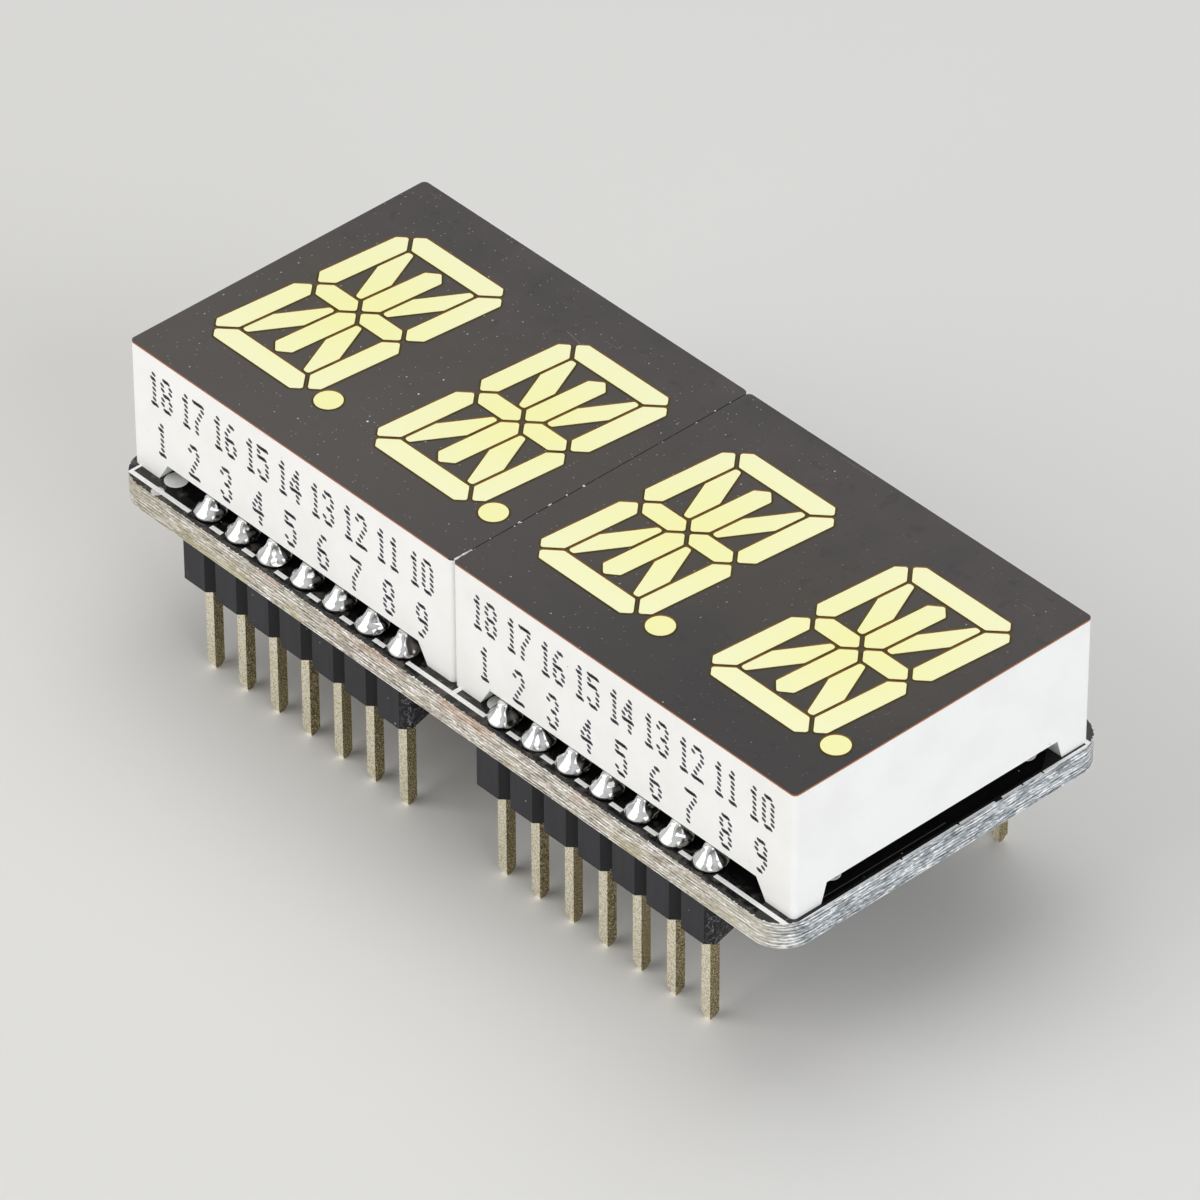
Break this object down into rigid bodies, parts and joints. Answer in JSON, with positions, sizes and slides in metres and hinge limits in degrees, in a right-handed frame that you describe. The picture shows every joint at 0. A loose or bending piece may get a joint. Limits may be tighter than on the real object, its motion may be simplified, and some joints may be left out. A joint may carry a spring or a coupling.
{
  "type": "alphanumeric led display module",
  "caption": "Plug-in display module: side-by-side dual-character 14-segment LED displays on a slim circuit board with square header pins and a driver chip beneath.",
  "frame": {"origin": "middle of the board's outline on the plane of the header pin tips, which the module stands on", "axes": "+X along the row of characters in reading direction, -Y towards the feet of the characters and the front pin row, +Z out of the display faces"},
  "size_m": [0.0508, 0.0228, 0.0183],
  "materials": {
    "board": "glossy black solder mask on glass-fibre board",
    "reflector": "white moulded plastic, light sheen",
    "face": "satin black ink",
    "light_bar": "pale yellow phosphor resin",
    "lamp_board": "green glass-fibre laminate",
    "led": "bare semiconductor chip",
    "potting": "cast cream epoxy",
    "tinned_pin": "tin plated",
    "solder": "bright solder",
    "header_plastic": "black moulded plastic",
    "header_pin": "thin gold plate, satin",
    "chip": "black moulding compound",
    "resistor": "glazed black over ceramic",
    "capacitor": "fired tan ceramic",
    "smd_end": "tin plated",
    "pad": "tinned copper"
  },
  "bodies": {
    "root": {"circuit_board": "board", "left_reflector": "reflector", "right_reflector": "reflector", "left_face": "face", "right_face": "face", "left_light_bars": "light_bar", "right_light_bars": "light_bar", "left_lamp_board": "lamp_board", "right_lamp_board": "lamp_board", "left_led_chips": "led", "right_led_chips": "led", "left_potting": "potting", "right_potting": "potting", "left_display_pins": "tinned_pin", "right_display_pins": "tinned_pin", "left_tail_joints": "solder", "right_tail_joints": "solder", "front_left_strip": "header_plastic", "front_right_strip": "header_plastic", "back_left_strip": "header_plastic", "back_right_strip": "header_plastic", "front_left_pins": "header_pin", "front_right_pins": "header_pin", "back_left_pins": "header_pin", "back_right_pins": "header_pin", "front_left_joints": "solder", "front_right_joints": "solder", "back_left_joints": "solder", "back_right_joints": "solder", "driver_chip": "chip", "driver_leads": "tinned_pin", "resistor_bodies": "resistor", "resistor_ends": "smd_end", "capacitor_bodies": "capacitor", "capacitor_ends": "smd_end", "jumper_pads": "pad"}
  },
  "joints": []
}
